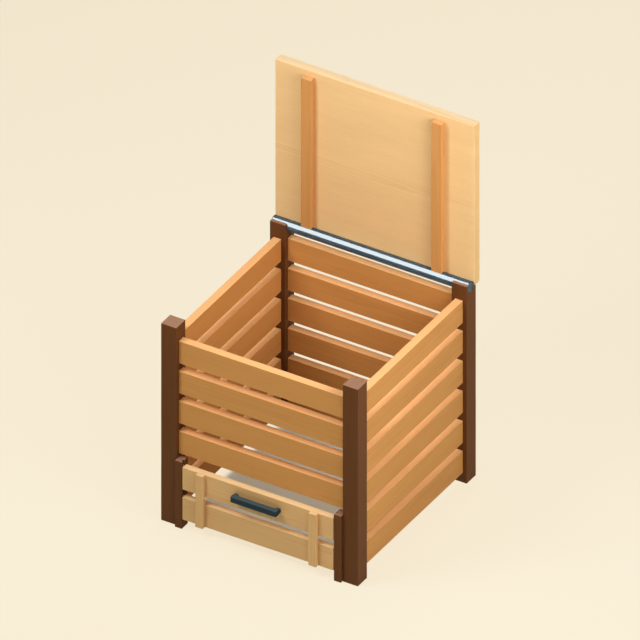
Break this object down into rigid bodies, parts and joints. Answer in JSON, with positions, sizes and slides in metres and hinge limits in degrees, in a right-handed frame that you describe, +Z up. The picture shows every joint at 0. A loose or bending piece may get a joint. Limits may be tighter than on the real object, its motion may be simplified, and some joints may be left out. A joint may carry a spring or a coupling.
{
  "type": "compost bin",
  "caption": "Square slatted timber compost bin, open to the ground, with a rear-hinged lid on a steel tube and a lift-up hatch with a pull at the foot of the front.",
  "frame": {"origin": "on the ground, under the middle of the whole object's box, with the lid open", "axes": "+X to the right seen from the front, +Y from the front to the back, +Z up"},
  "size_m": [0.778, 0.831, 1.43],
  "materials": {
    "dark_wood": "dark brown oiled timber",
    "slat_wood": "orange-brown oiled softwood",
    "hatch_wood": "pale planed softwood",
    "lid_wood": "pale sanded timber panel",
    "batten_wood": "orange-brown planed softwood",
    "slate_steel": "glossy slate-grey paint",
    "dark_enamel": "satin blue-black enamel",
    "zinc_steel": "zinc plated"
  },
  "bodies": {
    "bin": {"post_front_left": "dark_wood", "post_front_right": "dark_wood", "post_rear_left": "dark_wood", "post_rear_right": "dark_wood", "slat_left_1": "slat_wood", "slat_left_2": "slat_wood", "slat_left_3": "slat_wood", "slat_left_4": "slat_wood", "slat_left_5": "slat_wood", "slat_left_6": "slat_wood", "slat_right_1": "slat_wood", "slat_right_2": "slat_wood", "slat_right_3": "slat_wood", "slat_right_4": "slat_wood", "slat_right_5": "slat_wood", "slat_right_6": "slat_wood", "slat_rear_1": "slat_wood", "slat_rear_2": "slat_wood", "slat_rear_3": "slat_wood", "slat_rear_4": "slat_wood", "slat_rear_5": "slat_wood", "slat_rear_6": "slat_wood", "slat_front_3": "slat_wood", "slat_front_4": "slat_wood", "slat_front_5": "slat_wood", "slat_front_6": "slat_wood", "guide_left": "dark_wood", "guide_right": "dark_wood", "guide_screw_left_1": "zinc_steel", "guide_screw_left_2": "zinc_steel", "guide_screw_right_1": "zinc_steel", "guide_screw_right_2": "zinc_steel"},
    "hatch": {"hatch_board_1": "hatch_wood", "hatch_board_2": "hatch_wood", "hatch_cleat_left": "hatch_wood", "hatch_cleat_right": "hatch_wood", "hatch_handle": "dark_enamel", "cleat_screw_left_1": "zinc_steel", "cleat_screw_left_2": "zinc_steel", "cleat_screw_right_1": "zinc_steel", "cleat_screw_right_2": "zinc_steel", "handle_screw_left": "zinc_steel", "handle_screw_right": "zinc_steel"},
    "lid": {"lid_panel": "lid_wood", "lid_batten_left": "batten_wood", "lid_batten_right": "batten_wood", "hinge_strap_left": "zinc_steel", "hinge_strap_right": "zinc_steel", "lid_screw_left_1": "zinc_steel", "lid_screw_left_2": "zinc_steel", "lid_screw_left_3": "zinc_steel", "lid_screw_right_1": "zinc_steel", "lid_screw_right_2": "zinc_steel", "lid_screw_right_3": "zinc_steel", "hinge_tube": "slate_steel", "hinge_plug_left": "slate_steel", "hinge_plug_right": "slate_steel"}
  },
  "joints": [
    {"name": "hatch_lift", "type": "slide", "parent": "bin", "child": "hatch", "axis": [0, 0, 1], "range_m": [0, 0.18]},
    {"name": "lid_hinge", "type": "hinge", "parent": "bin", "child": "lid", "pos_m": [0, 0.3643, 0.7853], "axis": [1, 0, 0], "range_deg": [0, 90]}
  ]
}
